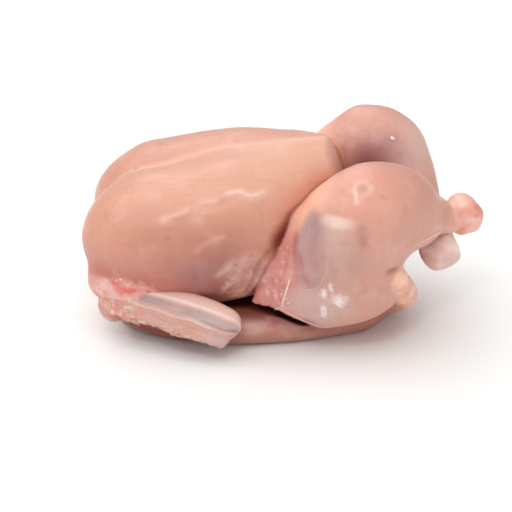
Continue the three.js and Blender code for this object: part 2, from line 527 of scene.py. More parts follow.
fillets_radius = 3.5  # of the valley where the two fillets meet
breast_clay = Clay([near_fillet, far_fillet, keel, near_shoulder, far_shoulder], 1.1)
breast_field = breast_clay.build(near_fillet, (far_fillet, fillets_radius), (keel, 9))
shoulders_field = np.minimum(breast_clay.distance(near_shoulder), breast_clay.distance(far_shoulder))
breast_field = fused(breast_field, shoulders_field, 8)
cavity_edge = 4
breast_field = carved(breast_field, breast_clay.distance(cavity), cavity_edge)
breast_points, breast_quads = breast_clay.skin(breast_field)
keel_path = [
    (-113, -2, 82), (-98, -2, 92), (-75, -2, 98), (-51, 0, 106),
    (-20, -3, 113), (11, -3, 118), (30, 0, 119),
]
fat_path = [
    (-64, -59, 86), (-54, -57, 90), (-50, -56, 92), (-46, -54, 94), (-42, -53, 95), (-36, -53, 96),
    (-32, -51, 98), (-27, -49, 100), (-22, -48, 101), (-18, -49, 99), (-14, -49, 98), (-9, -46, 99),
    (-2, -42, 102),
]
fat_ridge = fat_path[7:12]
faint_path = [(-46, -63, 69), (-41, -62, 74), (-37, -62, 76), (-30, -61, 78)]
here = near_side(breast_points)
broken = blotches(breast_points, 6, 7, -0.5, 0.4)
breast_relief = 0.5 * noise(breast_points, 38, 1) + 0.25 * noise(breast_points, 14, 2)
breast_relief += 0.1 * noise(breast_points, 5, 3)
breast_relief += 0.8 * along_path(here, fat_path, 2.0) * (0.3 + 0.7 * broken)
breast_relief += 0.8 * along_path(here, fat_ridge, 1.2)
breast_relief += 0.5 * along_path(here, faint_path, 1.6)
breast_relief += 0.35 * along_path(breast_points, keel_path, 2.2)
loose = within(here, (-17, -54, 47), (16, 15, 19), 0.4, 0.3)
down_back = here @ (-0.6, 0, -0.8)
across_folds = here @ (-0.8, 0, 0.6) + 2.5 * noise(breast_points, 12, 13)
in_folds = np.column_stack([down_back * 0.2, across_folds, here[:, 1] * 0.2])
folds = blotches(in_folds, 4.5, 12, -0.2, 0.7)
loose_lumps = 0.9 * folds + 0.4 * noise(breast_points, 5, 8) + 0.25 * noise(breast_points, 2.8, 9)
breast_relief += loose * loose_lumps
flap_path = [(-4, -55, 66), (-10, -56, 58), (-13, -55, 48), (-18, -50, 36)]
breast_relief -= 1.4 * along_path(here, flap_path, 1.6)
raw_edge = within(here, (-93, -56, 37), (19, 16, 11), 0.4, 0.35, 6)
breast_relief += raw_edge * (0.5 * noise(breast_points, 4, 10) + 0.35 * noise(breast_points, 2.2, 14))
breast_normals = normals_of(breast_points, breast_quads)
breast_points = breast_points + breast_normals * breast_relief[:, None]
breast = mesh_piece("breast", breast_points, breast_quads.tolist())

# The trunk with both legs, one piece of skinned meat: ribs, back, neck stump and rump, the thighs folded up
# beside them, and the drumsticks whose shanks cross behind the keel and end in bare knuckles. It is moulded
# like the breast, and carved where the cavity opens and under each thigh's skirt.
ribs = muscle(
    [
        (-106, 0, 40, 24, 24),
        (-60, 0, 38, 38, 36),
        (0, 0, 36, 40, 36),
        (40, 0, 34, 36, 30),
        (74, 0, 22, 20, 18),
    ],
    power=2.3,
)
back = muscle(
    [
        (-112, 0, 15, 32, 15),
        (-80, 0, 13, 52, 16),
        (-40, 0, 10, 58, 14),
        (0, 0, 11, 53, 16),
        (34, 0, 13, 42, 18),
        (72, 0, 16, 25, 19),
    ],
    power=2.6,
)
neck = muscle([(-84, 0, 24, 15, 14), (-100, 0, 24, 13, 12), (-113, 0, 24, 12, 11)], round_off=(0.1, 0.05))
rump = muscle([(54, 0, 24, 20, 17), (69, -2, 19, 13.5, 14), (85, -5, 16, 6.5, 10)], round_off=(0.1, 0.2))
thigh_shape = dict(up=SIDEWAYS, round_off=(0.15, 0.2), power=2.2, along=90, around=100)
near_thigh = muscle(
    [
        (37, -40, 19, 30, 15),
        (35, -45, 35, 37, 21),
        (38, -46, 56, 35.5, 24.5),
        (44, -46, 84, 31, 24.5),
        (49, -45, 114, 21, 19),
    ],
    **thigh_shape,
)
far_thigh = muscle(
    [
        (36, 40, 19, 30, 15),
        (34, 45, 35, 37, 21),
        (37, 46, 59, 35.5, 24.5),
        (41, 47, 86, 31, 24.5),
        (47, 46, 118, 20, 18),
    ],
    **thigh_shape,
)
drumstick_round_off = (0.12, 0.02)
near_drumstick = muscle(
    [
        (34, -47, 98, 17, 17),
        (50, -43, 93, 24.5, 24.5),
        (66, -34, 88, 26, 26),
        (80, -23, 80, 21.5, 21.5),
        (92, -13, 75.5, 13, 13),
        (98, -9, 72.3, 9.5, 10.2),
        (103, -6, 71, 7.5, 8.5),
    ],
    round_off=drumstick_round_off,
)
far_drumstick = muscle(
    [
        (35, 48, 101, 18, 18),
        (50, 46, 100, 24.5, 24.5),
        (63, 40, 97, 26, 26),
        (76, 28, 84, 20.5, 20.5),
        (88, 10, 70, 12.5, 12.5),
        (95, -2, 61, 9, 9),
    ],
    round_off=drumstick_round_off,
)
near_knuckle = muscle(
    [
        (96, -9, 72, 5, 5),
        (104.5, -5, 71.2, 7.3, 8.2),
        (108, -4.2, 72.4, 8.8, 10.2),
        (110.7, -3.5, 73.2, 10.3, 12.1),
        (113, -2.5, 72.4, 10.8, 11.3),
        (117, -1, 71, 10.2, 9.2),
        (121.2, 1, 70, 8.6, 7),
    ],
    round_off=(0.05, 0.1),
    power=2.8,
)
far_knuckle = muscle(
    [(97, 0, 60, 8, 9), (98, -6, 54, 11, 12), (98.5, -12, 50.5, 13, 13.5), (98.5, -18, 49, 12, 12.5)],
    up=(0.22, 0, 1),
    round_off=(0.05, 0.3),
    power=1.5,
)
gap_stations = [
    (-40, -36, 25, 10, 3),
    (-22, -39, 27, 13, 4.5),
    (-4, -42, 27, 14, 5),
    (12, -47, 24, 12, 4.5),
    (26, -52, 18, 9, 3),
]
near_gap = muscle(gap_stations, power=2.6)
far_gap = muscle(mirrored(gap_stations), power=2.6)
skirt_stations = [
    (16, -38, 88, 12, 8),
    (8, -45, 63, 14, 7.5),
    (4, -48, 43, 13.5, 6),
    (2.5, -51, 26.5, 19.5, 4),
]
skirt_shape = dict(up=SIDEWAYS, round_off=(0.1, 0.07), power=3)
near_skirt = muscle(skirt_stations, **skirt_shape)
far_skirt = muscle(mirrored(skirt_stations), **skirt_shape)
rear_fat_stations = [
    (65, -56, 57, 4, 4.5),
    (69, -51, 51, 8.5, 8),
    (73, -38, 38, 9, 8.5),
    (77, -24, 27, 8.5, 8.5),
    (80, -10, 18, 7, 9),
]
far_fat_drop = (0, 0, 6, 0, 0)
near_rear_fat = muscle(rear_fat_stations)
far_rear_fat = muscle(mirrored(rear_fat_stations[1:], -8) - far_fat_drop)

LEG_ROSE = rgb(207, 152, 135)
LEG_PALE = rgb(226, 163, 142)
THIGH_EDGE_ORANGE_LIGHT = rgb(243, 184, 157)
THIGH_SHADE = rgb(192, 146, 134)
PALE_HIGHLIGHT = rgb(234, 206, 194)
MEMBRANE_GREY = rgb(202, 168, 162)
GLINT_WHITE = rgb(250, 236, 232)
GREY_PURPLE = rgb(180, 146, 144)
PURPLE = rgb(164, 112, 118)
MEMBRANE_RED = rgb(206, 126, 122)
STRIPE_RED = rgb(174, 98, 94)
BACK_TAN = rgb(178, 122, 104)
BACK_RED = rgb(172, 98, 86)
UNDER_RED = rgb(134, 54, 42)
TAIL_PEACH = rgb(234, 174, 150)
FAT_PEACH = rgb(248, 208, 182)
FAT_ORANGE = rgb(214, 140, 110)
RED_SHADE = rgb(166, 72, 56)
HOLLOW_SHADE = rgb(140, 71, 75)
GAP_SHADE = rgb(34, 6, 4)
KNUCKLE_PINK = rgb(236, 182, 166)
KNUCKLE_RED = rgb(218, 112, 96)
KNUCKLE_GREY = rgb(242, 214, 204)
DIMPLE = rgb(176, 112, 92)

trunk_forms = [ribs, back, neck, rump]
near_leg_forms = [near_thigh, near_drumstick, near_skirt, near_knuckle, near_rear_fat]
far_leg_forms = [far_thigh, far_drumstick, far_skirt, far_knuckle, far_rear_fat]
body_clay = Clay(trunk_forms + near_leg_forms + far_leg_forms, 1.23)
trunk_field = body_clay.build(ribs, (back, 8), (neck, 6), (rump, 8))
trunk_field = carved(trunk_field, body_clay.distance(cavity), cavity_edge)
near_leg_field = body_clay.build(near_thigh, (near_drumstick, 14), (near_skirt, 8), (near_knuckle, 3))
far_leg_field = body_clay.build(far_thigh, (far_drumstick, 14), (far_skirt, 8), (far_knuckle, 2))
legs_field = fused(near_leg_field, far_leg_field, 1.5)
body_field = fused(trunk_field, legs_field, 8)
rear_fat_field = np.minimum(body_clay.distance(near_rear_fat), body_clay.distance(far_rear_fat))
body_field = fused(body_field, rear_fat_field, 3)
# The crevice between the legs and the breast is deepest at crevice_middle. The fillets sink by its depth.
crevice_middle = 76
crevice_reach = 12
crevice_depth = 3 + 3.5 * bell(body_clay.heights(), crevice_middle, crevice_reach)
fillets_below = body_clay.build(near_fillet, (far_fillet, fillets_radius)) + crevice_depth
crevice_field = np.maximum(fused(legs_field, fillets_below, 7), legs_field - 8)
touching_field = body_field
body_field = np.minimum(body_field, crevice_field)
gap_field = np.minimum(body_clay.distance(near_gap), body_clay.distance(far_gap))
body_field = carved(body_field, gap_field, 1.5)
body_field = np.maximum(body_field, -body_clay.heights())

body_points, body_quads = body_clay.skin(body_field)
on_floor = step_between(body_points[:, 2], 0.5, 6)
swell = 0.7 * noise(body_points, 34, 1) + 0.35 * noise(body_points, 15, 2) + 0.12 * noise(body_points, 5, 3)
here = near_side(body_points)
dimple_path = [(50, -71, 90), (51, -71, 81)]
swell -= 1.3 * along_path(here, dimple_path, 2.4)
cap_path = [(44, -62, 109), (46, -59, 112), (50, -59, 113), (54, -61, 111), (53, -63, 108)]
cap_foot = (45, -63, 109)
swell += 0.8 * along_path(here, cap_path, 2.6)
swell += 0.7 * along_path(here, [cap_foot, (46, -65, 105)], 1.6)
notch_path = [(66, -64, 60), (70, -59, 60.5), (76, -51, 60)]
swell -= 1.8 * along_path(here, notch_path, 1.4)
# Small raised wet spots on the thigh, where white glints are painted.
glint_spots = [
    ((29, -69, 47), (1.8, 3, 2.7)),
    ((38, -69, 43), (3.4, 3, 3.6)),
    ((29, -66, 34), (1.3, 3, 4.5)),
    ((33, -68, 52), (1, 3, 2.5)),
]
for glint_spot, glint_size in glint_spots:
    swell += 0.7 * within(here, glint_spot, glint_size, 0.8, 0.3, 3)
rear_fat_at = body_clay.sample(rear_fat_field, body_points)
on_rear_fat = step_between(-rear_fat_at, -2.5, 0)
rear_wrinkles = within(here, (74, -40, 40), (14, 22, 20), 0.5) * on_rear_fat
swell += rear_wrinkles * (0.7 * noise(body_points, 6, 25) + 0.7 * noise(body_points, 3, 26))
swell += on_rear_fat * (1.3 * noise(body_points, 10, 45) + 0.5 * noise(body_points, 4, 46))
knuckle_groove = [(118, 1, 80), (122, 1, 71), (119, 1, 61)]
swell -= 1.5 * along_path(body_points, knuckle_groove, 2.4)
membrane = within(here, (-1, -56, 45), (15, 16, 31), 0.3, 0.12)
swell += membrane * (0.35 * noise(body_points, 4, 27) + 0.3 * noise(body_points, 2.4, 28))
shank_path = [
    (60, -69, 74), (66, -66, 72), (72, -61, 71), (78, -55, 74),
    (86, -49, 77), (89, -46, 81), (95, -38, 80),
]
swell += 0.9 * along_path(here, shank_path, 2.2)
body_points = body_points + normals_of(body_points, body_quads) * (swell * on_floor)[:, None]
body = mesh_piece("body", body_points, body_quads.tolist())

legs_at = body_clay.sample(legs_field, body_points)
trunk_at = body_clay.sample(trunk_field, body_points)
here = near_side(body_points)
body_x, body_y, body_z = body_points.T
tones = Tones(body_points, BACK_TAN)
tones.lay(BACK_RED, blotches(body_points, 14, 35, -0.1, 0.7) * 0.5)
tones.patches(here, [
    (TISSUE_PALE, 0.5, (-12, -54, 15), (8, 9, 5), 0.7, 0.3),
    # Painted shade under the wing, over the red of the back.
    (UNDER_RED, 0.9, (-72, -60, 10), (40, 22, 13), 0.5, 0.2),
])
tones.lay(LEG_ROSE, step_between(trunk_at - legs_at, -4, 3))
tones.patches(here, [
    # Painted light: the knee's top paler where the light falls, over the leg's own pale tone.
    (LEG_PALE, 0.65, (50, -60, 108), (24, 22, 18), 0.7),
    # The thigh's orange front edge, lightened by painted light.
    (THIGH_EDGE_ORANGE_LIGHT, 0.85, (20, -46, 96), (13, 16, 24), 0.6),
])
breast_at = breast_clay.sample(breast_field, body_points)
tones.lay(MEMBRANE_RED, membrane * 0.9)
tones.lay(TISSUE_PINK, membrane * blotches(body_points, 4, 31, 0, 0.6) * 0.6)
tones.lay(TISSUE_PALE, membrane * blotches(body_points, 2.2, 32, 0.3, 0.8) * 0.8)
front_stripe = [(11, -59, 78), (12, -63, 67), (14, -66, 54)]
tones.lay(STRIPE_RED, along_path(here, front_stripe, 3.6) * 0.9)
below_facet_edge = step_between(-here[:, 2] + 0.8 * noise(body_points, 5, 36), -97.5, -94.5)
tones.lay(GREY_PURPLE, within(here, (22, -67, 73), (10, 16, 27), 0.25, 0.1) * below_facet_edge * 0.9)
tones.lay(PURPLE, within(here, (24, -68, 74), (4, 12, 20), 0.7, 0.2) * below_facet_edge * 0.55)
rear_stripe = [(14, -64, 68), (15.5, -66, 61), (18, -67, 55), (20, -68, 51)]
tones.lay(STRIPE_RED, along_path(here, rear_stripe, 2.8) * 0.7)
# Painted shade: the thigh darker over its middle, below its lit top facet.
tones.lay(THIGH_SHADE, within(here, (37, -70, 68), (14, 12, 18), 0.7))
# Painted highlight: a pale patch where the light glances off the thigh's top facet, fading down the thigh.
gloss = within(here, (36, -68, 93), (9, 9, 4), 0.7, 0.15)
gloss = gloss + 0.38 * within(here, (35, -70, 84), (8, 9, 13), 0.95)
tones.lay(PALE_HIGHLIGHT, gloss * below_facet_edge * 0.75)
# Painted highlights on the kneecap's raised ring and along the streak below it.
tones.lay(PALE_HIGHLIGHT, along_path(here, cap_path, 1.8) * 0.5)
tones.lay(PALE_HIGHLIGHT, along_path(here, [cap_foot, (46, -66, 104)], 1.4) * 0.7)
tones.patches(here, [
    (DIMPLE, 0.4, (49, -61, 111), (3.5, 3, 2), 0.8, 0.3, 4),
    (MEMBRANE_GREY, 0.85, (25, -65, 36), (20, 12, 13), 0.5, 0.2),
])
# Painted glints: white on the wet spots.
for glint_spot, glint_size in glint_spots:
    tones.lay(GLINT_WHITE, within(here, glint_spot, glint_size, 0.8, 0.6, 2) * 0.9)
# Painted shade in the dimple.
tones.lay(DIMPLE, along_path(here, dimple_path, 2.6) * 0.55)
tones.patches(body_points, [
    (PURPLE, 0.6, (60, 16, 101), (20, 12, 15), 0.8, 0.15),
    # Painted shade in the far leg's hollow, over its dark inner flesh.
    (HOLLOW_SHADE, 0.55, (54, 17, 98), (8, 12, 9), 0.95, 0.1),
    (GREY_PURPLE, 0.35, (80, 20, 98), (12, 14, 12), 0.8, 0.1),
    # Painted light on the far leg's top.
    (PALE_HIGHLIGHT, 0.4, (84, 30, 108), (14, 18, 22), 0.8, 0.1),
    (TAIL_PEACH, 0.9, (82, -2, 20), (16, 16, 20), 0.5),
])
tones.lay(TAIL_PEACH, on_rear_fat * 0.9)
tones.lay(FAT_PEACH, within(here, (72, -51, 52), (6, 9, 6), 0.6, 0.3) * on_rear_fat * 0.85)
tones.lay(FAT_ORANGE, rear_wrinkles * blotches(body_points, 5, 33, 0, 0.7) * 0.6)
tones.lay(FAT_PEACH, rear_wrinkles * blotches(body_points, 3, 34, 0, 0.6) * 0.8)
# Painted shade in the notch beside the fat knob.
tones.lay(RED_SHADE, along_path(here, notch_path[:2], 1.6) * 0.8)
tones.lay(RED_SHADE, along_path(here, notch_path, 1.2) * 0.5)
near_knuckle_at = step_between(body_clay.depth_in(near_knuckle, body_points), -3, 0)
tones.lay(TAIL_PEACH, within(body_points, (101, -10, 70), (8, 12, 12), 0.7, 0.2) * 0.6)
tones.lay(KNUCKLE_PINK, near_knuckle_at * step_between(body_x, 98, 108))
streaked = np.column_stack([body_x * 0.3 + body_z * 0.3, body_z - body_x, body_y])
streaks = blotches(streaked, 4, 38, 0.1, 0.7)
tones.lay(KNUCKLE_RED, near_knuckle_at * streaks * step_between(body_x, 104, 110) * 0.4)
tones.patches(body_points, [
    (KNUCKLE_RED, 0.55, (119, -6, 78), (7, 9, 6), 0.7, 0.3),
    # Painted highlights: two pale streaks on the near knuckle.
    (FAT_WHITE_AND_HIGHLIGHT, 0.5, (108, -8, 83), (5, 6, 2.5), 0.7, 0.3, 4),
    (FAT_WHITE_AND_HIGHLIGHT, 0.6, (117, -12, 73), (5, 4, 1.6), 0.7, 0.3, 4),
])
far_knuckle_at = step_between(body_clay.depth_in(far_knuckle, body_points), -3, 0)
tones.lay(KNUCKLE_GREY, far_knuckle_at)
tones.lay(GREY_PURPLE, far_knuckle_at * blotches(body_points, 7, 44, -0.3, 0.5) * 0.4)
tones.patches(body_points, [
    # Painted shadow of the drumstick on the far knuckle's upper side.
    (RED_SHADE, 0.65, (90, -20, 62), (5.5, 9, 7), 0.6, 0.2),
    (FAT_CREAM, 0.6, (93, -19, 46), (3.5, 6, 5), 0.6, 0.3, 4),
    (TISSUE_PALE, 0.6, (-113, 0, 25), (5, 10, 9), 0.6, 0.4, 5),
    (UNDER_RED, 0.8, (-113, 0, 26), (6, 4, 3.5), 0.7, 0.4, 3),
])
tones.lay(TISSUE_PALE, far_knuckle_at * blotches(body_points, 5, 37, 0, 0.7) * 0.6)
in_cavity = step_between(body_clay.depth_in(cavity, body_points), -5, -1)
# Darker inside the cavity: its dark red meat, and painted shade.
tones.lay(CAVITY_DARK, in_cavity * 0.8)
gap_at = body_clay.sample(gap_field, body_points)
# Painted shade: dark red round the gap under the skirt, and near black in its mouth.
tones.lay(UNDER_RED, step_between(-gap_at, -9, -1) * step_between(-body_z, -29, -25) * 0.75)
tones.lay(GAP_SHADE, step_between(-gap_at, -1.5, 0.5) * step_between(here[:, 1], -66, -58))
on_crease = step_between(body_z, 50, 66)
# Painted warm shade on the legs beside the crease with the breast.
tones.lay(CREASE_WARM_SHADE, step_between(-breast_at, -6, -1) * on_crease * 0.35)
darkest = 74  # the height at which the crease is darkest
deep = bell(body_z, darkest, crevice_reach)
# Painted shade in the crease, darkest at the height `darkest`.
tones.lay(CREASE_SHADE, step_between(-breast_at, -1.4, -0.2) * on_crease * (0.45 + 0.5 * deep))
tones.wet(DULL, step_between(-breast_at, -3, -0.5) * on_crease)
tones.wet(1, within(here, (32, -67, 43), (11, 10, 13), 0.4, 0.6, 4))
tones.wet(0.6, within(here, (6, -56, 46), (14, 20, 26), 0.4))
tones.give(body)
body.data.materials.append(flesh_material("leg_flesh", (1, 1, 0.16)))
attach(body, "root")
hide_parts("whole_chicken")

# The breast's tones and material come after the body's, because the painted shade of the crease between the
# two follows where the body touches the breast.
body_on_breast = body_clay.sample(touching_field, breast_points)
here = near_side(breast_points)
breast_x, breast_y, breast_z = breast_points.T
tones = Tones(breast_points, PEACH)
# Painted light: the breast paler towards its top, and on a patch along the top, where the light falls.
tones.lay(PEACH_TOP_LIGHT, step_between(breast_z, 84, 104) * 0.8)
tones.lay(PEACH_TOP_LIGHT, within(breast_points, (0, -10, 112), (44, 26, 24), 0.7) * 0.7)
# Painted shade: the breast's side darker below its top, and its lower part darker still; the lower part is
# also partly a darker red of its own.
behind_front = step_between(breast_x, -108, -60)
tones.lay(BREAST_SIDE_SHADE, step_between(-breast_z, -96, -74) * behind_front * 0.8)
tones.lay(BREAST_LOW_SHADE, step_between(-breast_z, -76, -46) * 0.8)
tones.patches(here, [
    (PLUM, 0.9, (-34, -60, 52), (24, 18, 22), 0.6, 0.2),
    (BREAST_RAW, 0.6, (-84, -56, 46), (26, 14, 7), 0.7, 0.3),
])
tones.lay(RAW_PINK, raw_edge * 0.8)
raw_red = within(here, (-86, -57, 41), (13, 12, 5), 0.6, 0.45, 5)
raw_red = raw_red + 0.6 * raw_edge * blotches(breast_points, 4, 15, 0, 0.6)
tones.lay(SHOULDER_RED, raw_red * 0.8)
raw_flecks = np.maximum(raw_edge, within(here, (-82, -58, 42), (12, 12, 6), 0.5))
tones.lay(TISSUE_PALE, raw_flecks * blotches(breast_points, 2.6, 16, 0.1, 0.6) * 0.65)
tones.lay(TISSUE_PINK, loose * (0.5 + 0.35 * noise(breast_points, 6, 11)))
tones.lay(TISSUE_PALE, loose * folds * (0.6 + 0.4 * noise(breast_points, 6, 12)))
tones.lay(TISSUE_PALE, loose * blotches(breast_points, 2.4, 17, 0.1, 0.7) * 0.35)
# Dark mottling of the loose tissue.
tones.lay(FLAP_DARK_AND_SHADE, loose * blotches(breast_points, 4, 18, 0.2, 0.7) * 0.4)
# Painted shade in the groove along the flap's edge.
tones.lay(FLAP_DARK_AND_SHADE, along_path(here, flap_path, 1.5) * 0.7)
tones.lay(FAR_STRIP, step_between(breast_y, -1, 2) * 0.5)
# Painted highlight: a pale streak along the keel's ridge.
tones.lay(KEEL_HIGHLIGHT, along_path(breast_points, keel_path, 3) * 0.6)
tones.lay(FAT_CREAM, along_path(here, fat_path, 2.6) * broken * 0.7)
tones.lay(FAT_WHITE_AND_HIGHLIGHT, along_path(here, fat_ridge, 1.7) * 0.95)
tones.lay(FAT_CREAM, within(here, (-64, -59, 86), (4, 5, 2.5), 0.8) * 0.6)
tones.lay(FAT_CREAM, along_path(here, faint_path, 1.5) * 0.35)
# Painted shade on the breast below the skirt, where it meets the body.
above_flap = step_between(breast_z, 58, 70)
shade_under_flap = step_between(-body_on_breast, -4, -0.5) * (1 - above_flap) * (breast_x > -40)
tones.lay(FLAP_DARK_AND_SHADE, shade_under_flap * 0.7)
# Painted warm shade on the breast beside the crease with the thigh.
tones.lay(CREASE_WARM_SHADE, step_between(-body_on_breast, -13, -1) * above_flap * 0.6)
# Painted shade in the crease, widest and darkest at the crevice's deepest height.
deep = bell(breast_z, darkest, crevice_reach)
crease = step_between(-body_on_breast / (2.2 + 5 * deep), -1, -0.1) * above_flap
tones.lay(CREASE_SHADE, crease * (0.5 + 0.47 * deep))
tones.wet(DULL, crease)
in_cavity = step_between(breast_clay.depth_in(cavity, breast_points), -5, -1)
# Darker inside the cavity: its dark red meat, and painted shade.
tones.lay(CAVITY_DARK, in_cavity * 0.8)
tones.give(breast)
breast.data.materials.append(flesh_material("breast_flesh", (0.1, 1, 1)))
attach(breast, "root")
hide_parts("whole_chicken")

# The wings, folded back along the body: the skinned upper arm above, the forearm below and a web between
# them, cut off blunt at the elbow end.
upper_arm_stations = [
    (-102, -42, 35, 9, 10),
    (-92, -47, 33.5, 10.5, 11),
    (-78, -53, 32, 9.5, 9.5),
    (-52, -61, 30, 9.5, 9.5),
    (-33, -66, 25.5, 9.5, 9.5),
    (-21, -68, 19, 8, 10),
]
forearm_stations = [
    (-108, -42, 24, 9, 10),
    (-94, -50, 22.5, 9, 10.5),
    (-75, -57, 21.5, 8.5, 9.5),
    (-50, -64, 17, 9.5, 9),
    (-27, -69, 14, 9.5, 9),
]
web_stations = [
    (-108, -41, 29.5, 9, 14),
    (-76, -54, 27, 9, 12.5),
    (-50, -62, 23.5, 9, 11.5),
    (-27, -67, 18, 9, 10),
]
WING_PINK = rgb(216, 168, 152)
WING_PALE = rgb(232, 200, 190)
WING_RIDGE = rgb(228, 195, 182)
WING_GREY = rgb(180, 152, 146)
GROOVE_PALE = rgb(197, 179, 175)
WING_LINE = rgb(178, 110, 108)
WING_TAN = rgb(204, 152, 136)
WING_UNDER_SHADE = rgb(128, 56, 46)
LAVENDER = rgb(208, 172, 172)


def make_wing(side, seed):
    """The wing on one side, -1 near and 1 far. Its bands run along it and are told apart by the angle round
    the web's path, in degrees, 0 outward and 90 up. Returns its points, and the normal and angle at each."""
    def placed(stations):
        return stations if side < 0 else mirrored(stations)

    upper_arm = muscle(placed(upper_arm_stations), round_off=(0.15, 0.15), along=90)
    forearm = muscle(placed(forearm_stations), along=90)
    web = muscle(placed(web_stations), power=2.4, along=90)
    clay = Clay([upper_arm, forearm, web], 0.7)
    field = np.maximum(clay.build(upper_arm, (forearm, 3), (web, 3)), -clay.heights())
    wing_points, wing_quads = clay.skin(field)

    core = np.array(web_stations)
    x = wing_points[:, 0]
    outward = np.abs(wing_points[:, 1]) + np.interp(x, core[:, 0], core[:, 1])
    upward = wing_points[:, 2] - np.interp(x, core[:, 0], core[:, 2])
    angle = np.degrees(np.arctan2(upward, outward))
    tip = step_between(x, -64, -28)
    strands = noise(np.column_stack([x * 0.1, angle * 0.22, tip]), 1, seed)
    fine_strands = noise(np.column_stack([x * 0.16, angle * 0.5, tip]), 1, seed + 1)
    ragged = angle + 7 * noise(wing_points, 5, seed + 2) + 3 * noise(wing_points, 1.8, seed + 3)
    groove_at = 44 - 6 * tip
    in_groove = bell(angle, groove_at, 15 + 3 * tip, 4) * step_between(x, -95, -80)
    highlight_band = bell(angle, 66, 6) * step_between(x, -82, -66)
    below_groove = angle + 4 * noise(wing_points, 8, seed + 9) - 22
    pale_line = bell(below_groove, 0, 3) * step_between(x, -96, -84)
    dark_line = bell(angle, 27, 3.5) * step_between(x, -46, -32)
    under = step_between(-ragged, 30, 38) * (1 - step_between(x, -38, -30)) * step_between(x, -104, -92)
    shoulder = 1 - step_between(x + 4 * noise(wing_points, 5, seed + 4), -92, -76)
    relief = 0.5 * highlight_band - 1.7 * in_groove + 0.5 * pale_line - 0.5 * dark_line - 3.2 * under
    relief += 0.3 * noise(wing_points, 12, seed)
    relief += (0.35 * strands + 0.3 * fine_strands) * step_between(angle, 52, 30) * (1 - under)
    relief += shoulder * (0.4 * noise(wing_points, 4, seed + 5) + 0.25 * noise(wing_points, 2, seed + 6))
    wing_points = wing_points + normals_of(wing_points, wing_quads) * relief[:, None]

    wing = mesh_piece("near_wing" if side < 0 else "far_wing", wing_points, wing_quads.tolist())
    here = near_side(wing_points)
    tones = Tones(wing_points, WING_PINK, 0.3)
    tones.lay(WING_TAN, step_between(-angle, -46, -30) * (0.6 + 0.4 * strands))
    tones.lay(WING_RIDGE, step_between(angle, 54, 66) * 0.8)
    # Painted highlight: a pale band along the upper arm.
    tones.lay(WING_PALE, highlight_band * 0.9)
    # The groove's grey membrane, darkened by painted shade in the groove.
    tones.lay(WING_GREY, in_groove * (0.9 - 0.25 * strands))
    tones.lay(GROOVE_PALE, in_groove * tip * 0.7)
    tones.lay(WING_GREY, step_between(fine_strands, 0.1, 0.8) * step_between(-angle, -30, -18) * 0.6)
    tones.lay(WING_PALE, step_between(-fine_strands, 0.3, 0.9) * step_between(-angle, -30, -18) * 0.5)
    tones.lay(WING_PALE, pale_line * 0.7)
    tones.lay(WING_LINE, dark_line * 0.8)
    tones.lay(LAVENDER, within(here, (-34, -76, 14), (11, 8, 6), 0.5) * 0.9)
    tones.lay(SHOULDER_RED, shoulder * blotches(wing_points, 4, seed + 7, -0.4, 0.6) * 0.6)
    tones.lay(RAW_PINK, shoulder * blotches(wing_points, 2.6, seed + 8, 0.1, 0.6) * 0.7)
    # Painted shade on the underside beneath the wing's ragged edge.
    tones.lay(WING_UNDER_SHADE, under * 0.9)
    tones.wet(0.8, shoulder)
    tones.give(wing)
    wing.data.materials.append(wing_material)
    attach(wing, "root")
    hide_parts("whole_chicken")
    return wing_points, normals_of(wing_points, wing_quads), angle


wing_material = flesh_material("wing_flesh", (0.12, 1, 1))
near_wing_points, near_wing_normals, near_wing_angle = make_wing(-1, 50)
make_wing(1, 70)

# Fat and loose tissue, which lie on the meat: thin lines of fat, pale tendons, white bits of film on the
# thighs and a cream speck on the far leg that are painted glints, and shreds of torn membrane round the
# shoulders, along the wings' lower edges and on the skirts. Each is a small closed shape, partly sunk in the
# near side's skin. The shreds' twins on the far side are only their mirror images, so some of those stand up
# to 1 mm off the skin there.


class Heap:
    """Small closed shapes that are gathered into one mesh, each with its own tone."""

    def __init__(self):
        self.points, self.faces, self.tones, self.count = [], [], [], 0

    def add(self, rings, tone, both=True):
        """Adds the shape over the rings, closed by a face at each end, and its twin on the far side."""
        count, around = rings.shape[:2]
        ends = [list(range(around))[::-1], list(range((count - 1) * around, count * around))]
        faces = ring_faces(count, around).tolist() + ends
        for turn in range(2 if both else 1):
            flip = (1, 1 - 2 * turn, 1)
            self.faces += [[self.count + corner for corner in face[:: 1 - 2 * turn]] for face in faces]
            self.points.append(rings.reshape(-1, 3) * flip)
            self.tones.append(np.tile(tone, (count * around, 1)))
            self.count += count * around

    def piece(self, name, material, slot, wet):
        """Makes the mesh object, which rides with the part."""
        points = np.concatenate(self.points)
        made = mesh_piece(name, points, self.faces)
        tones = Tones(points, np.concatenate(self.tones), wet)
        tones.give(made)
        made.data.materials.append(material)
        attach(made, "root")
        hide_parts("whole_chicken")


def onto(path, skin):
    """The points drawn onto the surface, each along the normal of the skin point nearest to it. Returns them
    and those normals."""
    skin_points, skin_normals = skin
    nearest = np.array([np.argmin(((skin_points - point) ** 2).sum(1)) for point in path])
    normals = skin_normals[nearest]
    height = ((path - skin_points[nearest]) * normals).sum(1)
    return path - normals * height[:, None], normals


